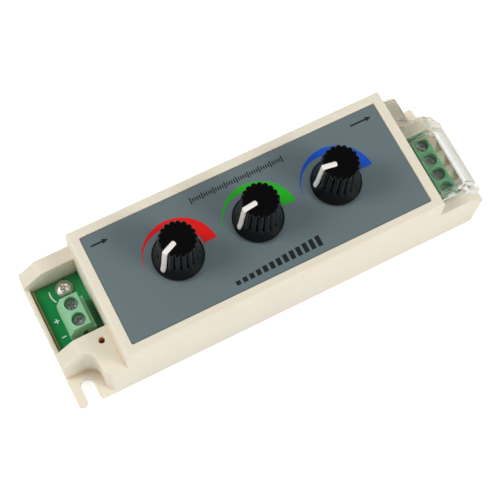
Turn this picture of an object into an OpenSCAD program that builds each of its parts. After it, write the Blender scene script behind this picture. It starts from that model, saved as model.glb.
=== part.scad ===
// LED strip controller: a moulded housing with a raised box, three knobs on a printed label, a terminal
// bay and a fastening ear at each end. Millimetres, origin in the middle of the base, X along the
// housing, Z up. Each end is the other one turned half round about Z.

/* [Housing] */
// Length of the housing over both wings
housing_l = 132; // [131:0.5:150]
// Width of the housing at its base
housing_w = 40; // [39.6:0.2:56]
// Length of each wing, from the box to the end of the housing
wing_l = 16; // [15.5:0.1:20]
// Height of the raised box
box_h = 30; // [29:0.5:40]
// Height of the flat top of each wing
wing_h = 20.5; // [20.2:0.1:22]
// Length of the slope at the end of each wing
slope_l = 5.8; // [4:0.1:6.5]
// Height of the end wall at the foot of the slope
end_h = 14.8; // [14:0.1:17]
// Wall of the raised box
wall = 2; // [1.6:0.1:2.2]
// Wall round the hollows of the wings
wing_wall = 1.5; // [1.2:0.1:1.7]
// Wall at the outer end of a bay
end_wall = 1.35; // [1:0.05:1.6]
// Radius of the upright corners
corner_r = 1.6; // [0.5:0.1:2]

/* [Terminal bays] */
// Near side of the left bay, measured from the middle
bay_near = -6; // [-6.4:0.1:-5.6]
// Far side of the left bay, measured from the middle
bay_far = 15.5; // [15.4:0.1:16]
// Height above the board of the sill that the wires cross
sill_rise = 2.7; // [2:0.1:4]

/* [Fastening ears] */
// Length of the pocket round an ear
ear_l = 9.7; // [9.5:0.1:10]
// Depth of the pocket round an ear from the side of the housing
ear_w = 9.4; // [9:0.1:10]
// Thickness of an ear
ear_t = 3; // [2:0.1:5]
// Width of the screw slot
slot_w = 3.9; // [3:0.1:5]
// Distance from the end of the housing to the middle of the slot
slot_in = 4.8; // [4.4:0.05:5.4]
// Distance from the side of the housing to the centre of the slot's round end
slot_depth = 5.35; // [4:0.05:6]

/* [Label] */
// Rim of the box beyond each end of the label
label_end = 3.4; // [3:0.1:6]
// Rim of the box along each side of the label
label_side = 3.2; // [2.6:0.1:6]
// Thickness of the label
label_t = 0.5; // [0.3:0.1:0.8]
// How far the label lies below the rim of the box
label_sink = 0.4; // [0.2:0.1:0.6]

/* [Knobs] */
// Distance from knob to knob
knob_pitch = 24.8; // [20:0.2:26]
// Radius of the lip at the foot of a knob
knob_r = 7.4; // [7.2:0.1:9]
// Radius of the fluted grip where it meets the skirt
grip_r = 5.85; // [5.6:0.05:6.4]
// Radius over the flutes at the top
grip_top_r = 5.4; // [5.2:0.05:5.6]
// Height of a knob
knob_h = 13.7; // [12.5:0.1:18]
// Gap between a knob and the label
knob_gap = 0.95; // [0.6:0.05:1.1]
// Number of grooves round a knob
flutes = 18; // [12:1:24]
// Width of the pointer
pointer_w = 1.7; // [1:0.1:2.4]

/* [Terminals] */
// Distance from pole to pole
pole_pitch = 5; // [4.9:0.02:5.04]
// Distance from the box to the row of input screws
input_in = 6.05; // [5.9:0.05:6.2]
// Distance from the box to the row of output screws
output_in = 6.4; // [6.2:0.05:6.6]
// Height of a terminal block above the board
block_h = 10.2; // [10.1:0.1:10.6]
// How far the blocks end below the tops of the wings
block_sink = 0.6; // [0.4:0.1:1]
// Diameter of the screwdriver wells
well_d = 4; // [3.9:0.05:4.1]

/* [Boards] */
// Thickness of both boards
board_t = 1.6; // [1.4:0.1:1.7]

/* [Clear cover] */
// Thickness of the cover's flange
cover_t = 1.75; // [1.4:0.05:2]
// Height of the cover's hood above the wing
hood_rise = 4.5; // [3.8:0.1:8]
// Wall of the hood
hood_wall = 1.2; // [0.8:0.1:1.4]

/* [Hidden] */

// Shared by every cut and fit
$fn = 64;
over = 1;
seat_gap = 0.15;
fit_gap = 0.05;

// Housing
box_l = housing_l - 2 * wing_l;
bend_x = housing_l / 2 - slope_l;
draft = 0.25;
top_edge_r = 0.7;
bend_edge_r = 0.5;
foot_edge_r = 0.3;
seam_r = 0.15;
top_t = 2;
label_z = box_h - label_sink;
label_floor = label_z - label_t;
ceiling = label_floor - top_t;
label_l = box_l - 2 * label_end;
label_w = housing_w - 2 * label_side;
label_r = 0.4;
bay_end = housing_l / 2 - end_wall;
cavity_l = box_l - 2 * wall;
cavity_w = housing_w - 2 * wall;
board_top = wing_h - block_sink - block_h;
board_z = board_top - board_t;
end_wall_gap = 0.5;
sill_h = board_top + sill_rise;
wing_ceiling = wing_h - wall;
core_top = end_h - wall;

// Base plate and its screws
base_t = 2;
boss_r = 3.2;
boss_inset = 2.8;
boss_x = cavity_l / 2 - boss_inset;
boss_y = cavity_w / 2 - boss_inset;
post_r = 2.9;
screw_r = 1.4;
base_head_r = 2.6;
base_head_t = 1.2;
base_head_sink = 0.2;
base_screw_l = 12;
cross_w = 0.7;
cross_l = 2.6;
cross_depth = 0.9;

// Ears
ear_inner_r = 4;
ear_outer_r = 2.5;
prong_r = 1.1;
slot_x = housing_l / 2 - slot_in;
slot_y = housing_w / 2 - slot_depth;
ear_x = housing_l / 2 - ear_l;
ear_y = housing_w / 2 - ear_w;

// Pilot holes for the screws of the covers
cover_hole_out = 2.94;
cover_screw_x = box_l / 2 + cover_hole_out;
cover_screw_y = 9.51;
cover_pilot_r = 0.875;
cover_boss_r = 2.2;
cover_boss_l = 7;

// Main board
board_side_gap = 0.6;
board_end_gap = 0.3;
board_bay_gap = 0.4;
boss_notch = 6.8;
board_hole_r = 1.55;
bay_post_out = 5.5;
bay_post_in = 3.5;
bay_post = [-box_l / 2 - bay_post_out, bay_far - bay_post_in];
post_to_boss = 9.2;
post_to_side = 3.8;
inner_post_x = boss_x - post_to_boss;
inner_post_y = cavity_w / 2 - post_to_side;
board_posts = [bay_post, [-inner_post_x, -inner_post_y], [inner_post_x, inner_post_y],
    [inner_post_x, -inner_post_y]];
pan_head_r = 2.1;
pan_head_t = 1.5;
board_washer_r = 2.65;
board_washer_t = 0.4;
board_screw_end = 1.1;
board_screw_l = board_top + board_washer_t - base_t - board_screw_end;

// Potentiometers, measured up from the control board to the ceiling of the box
knob_shift = 0.2;
knob_x = [for (i = [0 : 2]) (i - 1) * knob_pitch + knob_shift];
pointer_angle = [203.3, 186, 170.5];
thread_r = 3.5;
thread_gap = 0.15;
shaft_r = 3;
shaft_flat = 1.5;
plate_r = 8;
plate_t = 1.1;
wafer_t = 1.4;
can_t = 0.5;
can_gap = 0.3;
rotor_r = 6.8;
rotor_t = 1.6;
rotor_gap = 0.5;
thread_up = 3.4;
thread_top = label_z + thread_up;
washer_r = 6;
washer_t = 0.4;
nut_across = 10;
nut_t = 2;
tongue_w = 14;
tongue_l = 3.4;
pin_pitch = 5;
pin_r = 0.4;
pin_hole_r = 0.55;
pin_below = 1;
pin_y = plate_r + tongue_l / 2;
pot_room = 8.9;
pin_edge = 1.8;
control_top = ceiling - pot_room;
control_z = control_top - board_t;
control_w = 2 * (pin_y + pin_edge);
can_z = control_top + can_gap;
plate_z = ceiling - plate_t;
wafer_z = plate_z - wafer_t;
rotor_z = wafer_z - rotor_gap - rotor_t;

// Knobs
knob_z = label_z + knob_gap;
knob_top = knob_z + knob_h;
lip_t = 0.6;
lip_in = 0.25;
grip_foot_share = 0.42;
flare_steps = 10;
flute_r = 0.42;
flute_out = 0.1;
flute_foot_share = 0.45;
crown_r = 0.5;
nut_top = label_z + washer_t + nut_t;
knob_nut_r = nut_across / cos(30) / 2 + 0.23;
knob_nut_gap = 0.3;
knob_core_r = thread_r + 0.7;
knob_core_gap = 0.5;
shaft_top_gap = 2.2;
pointer_t = 0.5;
pointer_proud = 0.12;
pointer_start = 1.2;
pointer_foot = 1.4;

// Terminal blocks, drawn with the wires coming from -X and the first pole at the far end
block_out = 3.85;
block_top_out = 2.6;
block_top_in = 2.75;
block_in = 4.05;
block_straight = 5.7;
block_lip = 0.9;
block_ledge = 4.8;
rib_out = 0.7;
rib_w = 1.8;
rib_neck = 1.1;
rib_x = 0.6;
chamber_w = 4.2;
chamber_floor = 0.3;
chamber_top = 6.5;
chamber_out = 2.5;
chamber_in = 2.4;
shelf_t = 0.7;
neck_r = 1.6;
wire_w = 3.2;
wire_z = 0.8;
wire_h = 3.2;
cage_gap = 0.1;
cage_l = 4.4;
cage_w = 3.8;
cage_wall = 0.5;
cage_floor_t = 0.6;
cage_window = 3.2;
cage_top_t = 0.7;
bar_z = 3.2;
bar_t = 0.6;
bar_w = 2.2;
bar_out = 2;
leg_x = 2.7;
leg_t = 0.5;
leg_below = 2.6;
leg_gap = 0.1;
leg_hole_r = 1.25;
term_screw_r = 1.25;
term_head_r = 1.85;
term_head_t = 1.3;
term_tip = 4.1;
term_slot_w = 0.6;
term_slot_t = 0.7;
row_poles = [2, 4];
row_side = [-1, 1];
row_x = [box_l / 2 + input_in, box_l / 2 + output_in];
input_to_bay = 2.6;
output_to_bay = 0.2;
row_y = [bay_near + input_to_bay + row_poles[0] * pole_pitch / 2,
    output_to_bay - bay_far + row_poles[1] * pole_pitch / 2];
ledge_gap = 0.25;
ledge_rise = 1.9;
cradle_r = 1.6;
ledge_x = row_x[1] + block_out + ledge_gap;
slope_drop = (wing_h - end_h) / (housing_l / 2 - bend_x);

// Clear cover, over the right bay
cover_gap = 0.05;
cover_near_in = 2.6;
cover_far_in = 1.4;
cover_near = cover_near_in - housing_w / 2;
cover_far = housing_w / 2 - cover_far_in;
notch_side_gap = 0.3;
notch_end_gap = 0.5;
notch_lean = 1.8;
notch_end_l = 1.8;
notch_end_w = 1.4;
cover_notch_x = ear_x - notch_side_gap;
cover_notch_y = ear_y - notch_end_gap;
cover_edge_r = 1.2;
notch_end_r = 0.6;
hood_near_out = 0.1;
hood_far_in = 0.4;
hood_near = row_y[1] - row_poles[1] * pole_pitch / 2 - hood_near_out;
hood_far = row_y[1] + row_poles[1] * pole_pitch / 2 - hood_far_in;
hood_bend_out = 0.3;
hood_end_in = 2;
hood_end_rise = 6.7;
hood_h = wing_h + hood_rise;
hood_bend = bend_x + hood_bend_out;
hood_end = housing_l / 2 - hood_end_in;
hood_end_h = end_h + hood_end_rise;
hood_edge_r = 1;
cover_post_r = 1.9;
cover_post_rise = 3.7;
cover_hole_r = 1;
cover_bore_r = 1.4;
cover_bore_l = 1.6;

// Parts on the boards
header_to_pot = 1.2;
header_edge = 1.8;
header_x = knob_x[2] + plate_r + header_to_pot;
control_l = 2 * (header_x + header_edge);
header_pitch = 2.54;
header_pins_n = 5;
header_w = 2.5;
header_gap = 0.4;
header_h = control_z - board_top - header_gap;
header_pin_w = 0.64;
header_pin_gap = 0.03;
header_hole_r = 0.55;
header_above = 0.8;
header_below = 0.9;
cap_in = 18;
cap_at = [cap_in - cavity_l / 2, -3];
cap_r = 3.15;
cap_headroom = 0.9;
cap_l = control_z - board_top - cap_headroom;
cap_edge_r = 0.3;
mosfet_pitch = 9;
mosfet_to_post = 14;
mosfet_to_side = 8;
mosfet_x = [for (k = [0 : 2]) inner_post_x - mosfet_to_post - k * mosfet_pitch];
mosfet_y = mosfet_to_side - cavity_w / 2;
mosfet_l = 4.1;
mosfet_w = 5;
mosfet_h = 1.1;
mosfet_tab_l = 0.9;
mosfet_tab_w = 4.2;
mosfet_tab_t = 0.3;
mosfet_leg_l = 1;
mosfet_leg_w = 0.42;
mosfet_leg_n = 4;
mosfet_leg_pitch = 1.27;
regulator_at = [cap_at.x, 8];
regulator_l = 4.5;
regulator_w = 2.5;
regulator_h = 1.5;
regulator_leg_l = 1;
regulator_leg_w = 0.5;
regulator_leg_t = 0.4;
regulator_leg_pitch = 1.5;
chip_at = [-12, 6];
chip_l = 8.65;
chip_w = 3.9;
chip_h = 1.5;
chip_lead_n = 7;
chip_lead_pitch = 1.27;
chip_lead_w = 0.42;
chip_lead_l = 1.05;
chip_lead_t = 0.5;
resistor_l = 2;
resistor_w = 1.25;
resistor_h = 0.5;
resistor_pitch = 3.4;
resistor_to_side = 7;
resistor_y = cavity_w / 2 - resistor_to_side;
resistor_x = 4;
resistor_n = 6;

IVORY = "#e9e1cc";
SLATE = "#667078";
BOARD_GREEN = "#00733a";
NICKEL = "#c9c9c4";
BRASS = "#c8a24b";
BLACK = "#0b0b0c";

// Points of an outline, run anticlockwise, with each corner rounded to its own radius
function rounded(points, radii, steps = 6) = [
    for (i = [0 : len(points) - 1])
        let (p = points[i],
             a = points[(i + len(points) - 1) % len(points)] - p,
             b = points[(i + 1) % len(points)] - p,
             ua = a / norm(a),
             ub = b / norm(b),
             half = acos(ua * ub) / 2,
             centre = p + (ua + ub) / norm(ua + ub) * radii[i] / sin(half),
             first = p + ua * radii[i] / tan(half) - centre,
             turn = sign(ub.x * ua.y - ub.y * ua.x) * (180 - 2 * half),
             start = atan2(first.y, first.x))
        for (k = [0 : radii[i] > 0 ? steps : 0])
            radii[i] > 0 ? centre + radii[i] * [cos(start + turn * k / steps), sin(start + turn * k / steps)] : p
];

// A box given by two opposite corners
module block(low, high) {
    translate(low) cube(high - low);
}

// The same thing at the left end and, turned half round, at the right end
module both_ends() {
    children();
    rotate([0, 0, 180]) children();
}

// An outline drawn along X and Z, run from one Y to another
module along_y(from, to) {
    translate([0, to, 0]) rotate([90, 0, 0]) linear_extrude(to - from) children();
}

// A rectangle with rounded corners, given by two opposite corners
module soft_rect(low, high, r) {
    polygon(rounded([low, [high.x, low.y], high, [low.x, high.y]], [r, r, r, r]));
}

// Side view of the housing
module side_outline() {
    end = housing_l / 2;
    box = box_l / 2;
    half = [[end, 0], [end, end_h], [bend_x, wing_h], [box, wing_h], [box - draft, box_h]];
    radii = [foot_edge_r, bend_edge_r, bend_edge_r, seam_r, top_edge_r];
    other = [for (i = [4 : -1 : 0]) [-half[i].x, half[i].y]];
    polygon(rounded(concat(half, other), concat(radii, [for (i = [4 : -1 : 0]) radii[i]])));
}

// End view of the housing, drawn in a little towards the top
module end_outline() {
    w = housing_w / 2;
    polygon(rounded([[-w, 0], [w, 0], [w - draft, box_h], [draft - w, box_h]],
        [foot_edge_r, foot_edge_r, top_edge_r, top_edge_r]));
}

module housing_blank() {
    end = housing_l / 2;
    side = housing_w / 2;
    intersection() {
        along_y(-side, side) side_outline();
        translate([-end, 0, 0]) rotate([90, 0, 90]) linear_extrude(housing_l) end_outline();
        linear_extrude(box_h) soft_rect([-end, -side], [end, side], corner_r);
    }
}

// Plan of the ear pocket at the left end
module ear_plan() {
    end = housing_l / 2 + over;
    side = housing_w / 2 + fit_gap;
    mouth = ear_x - ear_outer_r - over;
    polygon(rounded([[-end, -side - over], [-mouth, -side - over], [-mouth, -side], [-ear_x, -side],
        [-ear_x, -ear_y], [-end, -ear_y]], [0, 0, 0, ear_outer_r, ear_inner_r, 0]));
}

// The ear itself: the floor of the pocket, with an open screw slot
module ear() {
    end = housing_l / 2;
    tip = housing_w / 2;
    left = -slot_x - slot_w / 2;
    right = -slot_x + slot_w / 2;
    mouth = ear_x - ear_outer_r;
    linear_extrude(ear_t) difference() {
        polygon(rounded([[-end, -tip], [left, -tip], [left, -slot_y], [right, -slot_y], [right, -tip],
            [-mouth, -tip], [-mouth, wing_wall - tip], [wing_wall - ear_x, wing_wall - tip],
            [wing_wall - ear_x, -ear_y], [-end, -ear_y]], [prong_r, prong_r, 0, 0, prong_r, 0, 0, 0, 0, 0]));
        translate([-slot_x, -slot_y]) circle(d = slot_w);
    }
}

// What is cut out of one wing, drawn at the left end
module wing_cuts() {
    box = box_l / 2;
    inner = cavity_l / 2;
    end = housing_l / 2;
    core_far = bay_far + wing_wall;
    block([-bay_end, bay_near, -over], [-box, bay_far, box_h]);
    block([-bay_end, bay_near, -over], [-inner + over, bay_far, board_top + end_wall_gap]);
    block([-end - over, bay_near, sill_h], [-bay_end + over, bay_far, box_h]);
    block([wing_wall - ear_x, -cavity_w / 2, -over], [-inner + over, bay_near - wing_wall, wing_ceiling]);
    block([-bay_end, wing_wall - ear_y, -over], [wing_wall - ear_x + over, bay_near - wing_wall, core_top]);
    block([-bay_end, core_far, -over], [-inner - wing_wall, cavity_w / 2 + wall - wing_wall, core_top]);
    translate([0, 0, -over]) linear_extrude(box_h) ear_plan();
}

// Posts in the corners of the box, for the screws of the base plate
module corner_places() {
    for (x = [-boss_x, boss_x], y = [-boss_y, boss_y])
        translate([x, y, 0]) children();
}

// Ledge in front of the output terminal, with a cradle for each wire
module wire_ledge() {
    difference() {
        block([ledge_x, -bay_far - wing_wall / 2, board_z],
            [bay_end + end_wall / 2, wing_wall / 2 - bay_near, board_top + ledge_rise]);
        pole_places(1) translate([0, 0, wire_z + wire_h / 2]) rotate([0, -90, 0])
            cylinder(h = housing_l / 2 - row_x[1], r = cradle_r);
    }
}

module housing() {
    color(IVORY) difference() {
        union() {
            difference() {
                housing_blank();
                block([-cavity_l / 2, -cavity_w / 2, -over], [cavity_l / 2, cavity_w / 2, ceiling]);
                both_ends() wing_cuts();
            }
            both_ends() ear();
            wire_ledge();
            both_ends() intersection() {
                translate([-cover_screw_x, -cover_screw_y, wing_ceiling - cover_boss_l])
                    cylinder(h = cover_boss_l + wall / 2, r = cover_boss_r);
                block([-ear_x, -cavity_w / 2, 0], [-cavity_l / 2, bay_near - wing_wall / 2, wing_h]);
            }
            intersection() {
                corner_places() translate([0, 0, base_t]) cylinder(h = ceiling - base_t + top_t / 2, r = boss_r);
                block([-cavity_l / 2 - wall / 2, -cavity_w / 2 - wall / 2, 0],
                    [cavity_l / 2 + wall / 2, cavity_w / 2 + wall / 2, box_h]);
            }
        }
        translate([0, 0, label_floor]) linear_extrude(box_h)
            soft_rect([-label_l / 2 - seat_gap, -label_w / 2 - seat_gap],
                [label_l / 2 + seat_gap, label_w / 2 + seat_gap], label_r);
        for (x = knob_x)
            translate([x, 0, ceiling - over]) cylinder(h = box_h, r = thread_r + thread_gap);
        both_ends() translate([-cover_screw_x, -cover_screw_y, wing_ceiling - cover_boss_l + wall])
            cylinder(h = wing_h, r = cover_pilot_r);
        corner_places() cylinder(h = base_t + base_screw_l + over, r = screw_r + fit_gap);
    }
}

// Plan of the plate that closes the base, each edge held clear of the housing
module base_outline(gap) {
    inner = cavity_l / 2 - gap;
    side = cavity_w / 2 - gap;
    square([2 * inner, 2 * side], center = true);
    both_ends_plan() {
        translate([gap - bay_end, bay_near + gap])
            square([bay_end - gap - inner + over, bay_far - bay_near - 2 * gap]);
        translate([wing_wall - ear_x + gap, -side])
            square([ear_x - wing_wall - gap - inner + over, bay_near - wing_wall - gap + side]);
    }
}

module both_ends_plan() {
    children();
    rotate(180) children();
}

module cross_cut(length, width, depth) {
    block([-length / 2, -width / 2, 0], [length / 2, width / 2, depth]);
    block([-width / 2, -length / 2, 0], [width / 2, length / 2, depth]);
}

module base_plate() {
    color(IVORY) difference() {
        union() {
            linear_extrude(base_t) base_outline(seat_gap);
            for (p = board_posts)
                translate([p.x, p.y, 0]) cylinder(h = board_z, r = post_r);
        }
        corner_places() {
            translate([0, 0, -over]) cylinder(h = base_t + 2 * over, r = screw_r + seat_gap);
            translate([0, 0, base_head_sink])
                cylinder(h = base_head_t, r1 = base_head_r + fit_gap, r2 = screw_r + seat_gap);
            translate([0, 0, -over]) cylinder(h = base_head_sink + over, r = base_head_r + fit_gap);
        }
        for (p = board_posts)
            translate([p.x, p.y, base_t]) cylinder(h = board_z, r = screw_r + fit_gap);
    }
}

module base_screws() {
    color(NICKEL) corner_places() translate([0, 0, base_head_sink]) difference() {
        union() {
            cylinder(h = base_head_t, r1 = base_head_r, r2 = screw_r);
            cylinder(h = base_screw_l, r = screw_r);
        }
        translate([0, 0, -over]) cross_cut(cross_l, cross_w, over + cross_depth);
    }
}

module label_plate() {
    color(SLATE) translate([0, 0, label_floor]) difference() {
        linear_extrude(label_t) soft_rect([-label_l / 2, -label_w / 2], [label_l / 2, label_w / 2], label_r);
        for (x = knob_x)
            translate([x, 0, -over]) cylinder(h = label_t + 2 * over, r = thread_r + thread_gap);
    }
}

// Half of a knob's section from the foot to the crown, grown outwards by a margin
function flare(margin) =
    let (foot = knob_z + lip_t,
         head = knob_z + knob_h * grip_foot_share)
    [for (k = [0 : flare_steps])
        let (share = k / flare_steps)
        [grip_r + (knob_r - lip_in - grip_r) * pow(1 - share, 2) + margin, foot + (head - foot) * share]];

module knob_section() {
    polygon(concat([[0, knob_z], [knob_r, knob_z], [knob_r, knob_z + lip_t]], flare(0),
        [[grip_top_r, knob_top - crown_r], [grip_top_r - crown_r, knob_top], [0, knob_top]]));
}

// The pointer's own section, from near the middle of the crown to just above the lip
module pointer_section(proud, depth) {
    rise = knob_z + pointer_foot;
    outside = [for (p = flare(proud)) if (p.y > rise) p];
    inside = [for (p = flare(-depth)) if (p.y > rise) p];
    back = [for (i = [len(inside) - 1 : -1 : 0]) inside[i]];
    polygon(concat(outside, [[grip_top_r + proud, knob_top - crown_r], [grip_top_r - crown_r + proud, knob_top + proud],
        [pointer_start, knob_top + proud], [pointer_start, knob_top - depth],
        [grip_top_r - depth, knob_top - depth]], back));
}

module pointer_bar(i, proud, depth) {
    translate([knob_x[i], 0, 0]) rotate([0, 0, pointer_angle[i]])
        along_y(-pointer_w / 2, pointer_w / 2) pointer_section(proud, depth);
}

module knob(i) {
    lean = atan((grip_r - grip_top_r) / (knob_h * (1 - grip_foot_share)));
    core_top = thread_top + knob_core_gap;
    color(BLACK) difference() {
        translate([knob_x[i], 0, 0]) rotate([0, 0, pointer_angle[i]]) difference() {
            rotate_extrude() knob_section();
            for (k = [0 : flutes - 1])
                rotate([0, 0, (k + 1 / 2) * 360 / flutes])
                    translate([grip_r + flute_out, 0, knob_z + knob_h * flute_foot_share])
                        rotate([0, -lean, 0]) cylinder(h = knob_h, r = flute_r, $fn = 24);
            translate([0, 0, knob_z - over]) cylinder(h = core_top - knob_z + over, r = knob_core_r);
            translate([0, 0, knob_z - over]) cylinder(h = nut_top + knob_nut_gap - knob_z + over, r = knob_nut_r);
            shaft_solid(knob_z, knob_top - shaft_top_gap + seat_gap, fit_gap);
        }
        pointer_bar(i, over, pointer_t);
    }
}

module pointer(i) {
    color("#e8e2dc") pointer_bar(i, pointer_proud, pointer_t);
}

// A shaft standing at the middle, with a flat on its upper part
module shaft_solid(from, to, gap) {
    difference() {
        translate([0, 0, from]) cylinder(h = to - from, r = shaft_r + gap);
        block([shaft_r - shaft_flat + gap, -2 * shaft_r, thread_top + knob_core_gap / 2],
            [2 * shaft_r, 2 * shaft_r, knob_top]);
    }
}

module shaft(i) {
    color(NICKEL) translate([knob_x[i], 0, 0]) rotate([0, 0, pointer_angle[i]])
        shaft_solid(rotor_z + rotor_t, knob_top - shaft_top_gap, 0);
}

// The rotor carries two wipers that lean over the wafer's track
module rotor(i) {
    wiper_w = rotor_r / 5;
    color("#d8d2c4") translate([knob_x[i], 0, rotor_z]) rotate([0, 0, pointer_angle[i]]) {
        cylinder(h = rotor_t, r = rotor_r);
        for (side = [-1, 1])
            translate([0, side * (shaft_r + wiper_w), rotor_t])
                block([-wiper_w, -wiper_w / 2, 0], [wiper_w, wiper_w / 2, rotor_gap / 2]);
    }
}

module bushing(i) {
    color(NICKEL) translate([knob_x[i], 0, 0]) difference() {
        union() {
            translate([0, 0, plate_z]) cylinder(h = plate_t, r = plate_r);
            translate([0, 0, plate_z]) cylinder(h = thread_top - plate_z, r = thread_r);
        }
        translate([0, 0, plate_z - over]) cylinder(h = thread_top, r = shaft_r + fit_gap);
    }
}

module can(i) {
    color("#b9bab6") translate([knob_x[i], 0, can_z]) difference() {
        cylinder(h = wafer_z - can_z, r = plate_r);
        translate([0, 0, can_t]) cylinder(h = wafer_z, r = plate_r - can_t);
    }
}

module wafer(i) {
    color("#7a4b26") translate([knob_x[i], 0, wafer_z]) difference() {
        union() {
            cylinder(h = wafer_t, r = plate_r);
            block([-tongue_w / 2, -plate_r - tongue_l, 0], [tongue_w / 2, 0, wafer_t]);
        }
        translate([0, 0, -over]) cylinder(h = wafer_t + 2 * over, r = shaft_r + can_gap);
    }
}

module pot_pin_places() {
    for (x = knob_x, k = [-1 : 1])
        translate([x + k * pin_pitch, -pin_y, 0]) children();
}

module pot_pins() {
    color(NICKEL) pot_pin_places() translate([0, 0, control_z - pin_below])
        cylinder(h = wafer_z - control_z + pin_below, r = pin_r);
}

module pot_nuts() {
    color(NICKEL) for (x = knob_x)
        translate([x, 0, label_z + washer_t]) difference() {
            cylinder(h = nut_t, d = nut_across / cos(30), $fn = 6);
            translate([0, 0, -over]) cylinder(h = nut_t + 2 * over, r = thread_r + fit_gap);
        }
}

module pot_washers() {
    color(NICKEL) for (x = knob_x)
        translate([x, 0, label_z]) difference() {
            cylinder(h = washer_t, r = washer_r);
            translate([0, 0, -over]) cylinder(h = washer_t + 2 * over, r = thread_r + thread_gap);
        }
}

module header_places() {
    for (k = [0 : header_pins_n - 1])
        translate([header_x, (k - (header_pins_n - 1) / 2) * header_pitch, 0]) children();
}

module control_board() {
    color(BOARD_GREEN) translate([0, 0, control_z]) difference() {
        block([-control_l / 2, -control_w / 2, 0], [control_l / 2, control_w / 2, board_t]);
        pot_pin_places() translate([0, 0, -over]) cylinder(h = board_t + 2 * over, r = pin_hole_r);
        header_places() translate([0, 0, -over]) cylinder(h = board_t + 2 * over, r = header_hole_r);
    }
}

module header_body() {
    l = header_pins_n * header_pitch / 2;
    hole = header_pin_w / 2 + header_pin_gap;
    color(BLACK) difference() {
        block([header_x - header_w / 2, -l, board_top], [header_x + header_w / 2, l, board_top + header_h]);
        header_places() block([-hole, -hole, board_z], [hole, hole, control_z]);
    }
}

module header_pins() {
    w = header_pin_w / 2;
    color(BRASS) header_places()
        block([-w, -w, board_z - header_below], [w, w, control_top + header_above]);
}

// Plan of the main board: the middle, a tongue into each bay, and a notch round each corner post
module board_plan() {
    inner = cavity_l / 2 - board_side_gap;
    side = cavity_w / 2 - board_side_gap;
    difference() {
        union() {
            square([2 * inner, 2 * side], center = true);
            translate([board_end_gap - bay_end, bay_near + board_bay_gap])
                square([bay_end - board_end_gap, bay_far - bay_near - 2 * board_bay_gap]);
            translate([0, board_bay_gap - bay_far])
                square([ledge_x - seat_gap, bay_far - bay_near - 2 * board_bay_gap]);
        }
        for (x = [-1, 1], y = [-1, 1])
            translate([x * boss_x, y * boss_y]) square(boss_notch, center = true);
    }
}

module main_board() {
    color(BOARD_GREEN) translate([0, 0, board_z]) difference() {
        linear_extrude(board_t) board_plan();
        for (p = board_posts)
            translate([p.x, p.y, -over]) cylinder(h = board_t + 2 * over, r = board_hole_r);
        for (r = [0, 1])
            pole_places(r) translate([leg_x + leg_t / 2, 0, -board_top])
                cylinder(h = 2 * board_top, r = leg_hole_r);
        header_places() translate([0, 0, -over]) cylinder(h = board_t + 2 * over, r = header_hole_r);
    }
}

module board_washers() {
    color(NICKEL) for (p = board_posts)
        translate([p.x, p.y, board_top]) difference() {
            cylinder(h = board_washer_t, r = board_washer_r);
            translate([0, 0, -over]) cylinder(h = board_washer_t + 2 * over, r = board_hole_r);
        }
}

// A pan head: a short drum under a flat dome, on its own shank
module pan_screw(head_r, head_t, shank_r, shank_l, slit) {
    dome_r = (head_r * head_r + head_t * head_t / 4) / head_t;
    difference() {
        union() {
            cylinder(h = head_t / 2, r = head_r);
            intersection() {
                translate([0, 0, head_t - dome_r]) sphere(r = dome_r);
                cylinder(h = head_t, r = head_r);
            }
            translate([0, 0, -shank_l]) cylinder(h = shank_l, r = shank_r);
        }
        translate([0, 0, head_t / 2]) cross_cut(head_r * 4 / 3, slit, head_t);
    }
}

module board_screws() {
    color(NICKEL) for (p = board_posts)
        translate([p.x, p.y, board_top + board_washer_t])
            pan_screw(pan_head_r, pan_head_t, screw_r, board_screw_l, cross_w);
}

// Places of a row's poles on the board, each seen with its wire coming from -X
module pole_places(row) {
    for (k = [0 : row_poles[row] - 1])
        pole_place(row, k) children();
}

module pole_place(row, k) {
    y = row_y[row] + ((row_poles[row] - 1) / 2 - k) * pole_pitch;
    translate([row_side[row] * row_x[row], y, 0]) mirror([row_side[row] > 0 ? 1 : 0, 0, 0])
        translate([0, 0, board_top]) children();
}

module block_outline() {
    polygon([[-block_out, 0], [block_in, 0], [block_in, block_ledge], [block_top_in, block_ledge],
        [block_top_in, block_h], [-block_top_out, block_h], [-block_top_out, block_h - block_lip],
        [-block_out, block_straight]]);
}

// Wells, chambers, wire entries and leg slots of one pole
module pole_cuts() {
    shelf_top = chamber_top + shelf_t;
    wire_top = wire_z + wire_h;
    translate([0, 0, shelf_top]) cylinder(h = block_h, d = well_d);
    translate([0, 0, chamber_floor]) cylinder(h = block_h, r = neck_r);
    block([-chamber_out, -chamber_w / 2, chamber_floor], [chamber_in, chamber_w / 2, chamber_top]);
    block([-block_out - over, -wire_w / 2, wire_z], [0, wire_w / 2, wire_top]);
    block([0, -bar_w / 2 - leg_gap, -over], [leg_x + leg_t + leg_gap, bar_w / 2 + leg_gap, bar_z + bar_t + leg_gap]);
}

// A lock rib stands on the far face, and a groove in the near face takes the next block's rib
module rib(gap) {
    translate([rib_x, 0, -gap]) linear_extrude(block_ledge + 2 * gap)
        polygon([[-rib_neck / 2 - gap, -gap], [rib_neck / 2 + gap, -gap], [rib_w / 2 + gap, rib_out + gap],
            [-rib_w / 2 - gap, rib_out + gap]]);
}

module terminal(row) {
    half = row_poles[row] * pole_pitch / 2;
    color(row == 0 ? "#8ccb9d" : "#67a277") difference() {
        translate([row_side[row] * row_x[row], row_y[row], board_top]) mirror([row_side[row] > 0 ? 1 : 0, 0, 0])
            difference() {
                union() {
                    along_y(-half, half) block_outline();
                    translate([0, half, 0]) rib(0);
                }
                translate([0, -half, 0]) rib(fit_gap);
            }
        pole_places(row) pole_cuts();
    }
}

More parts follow.
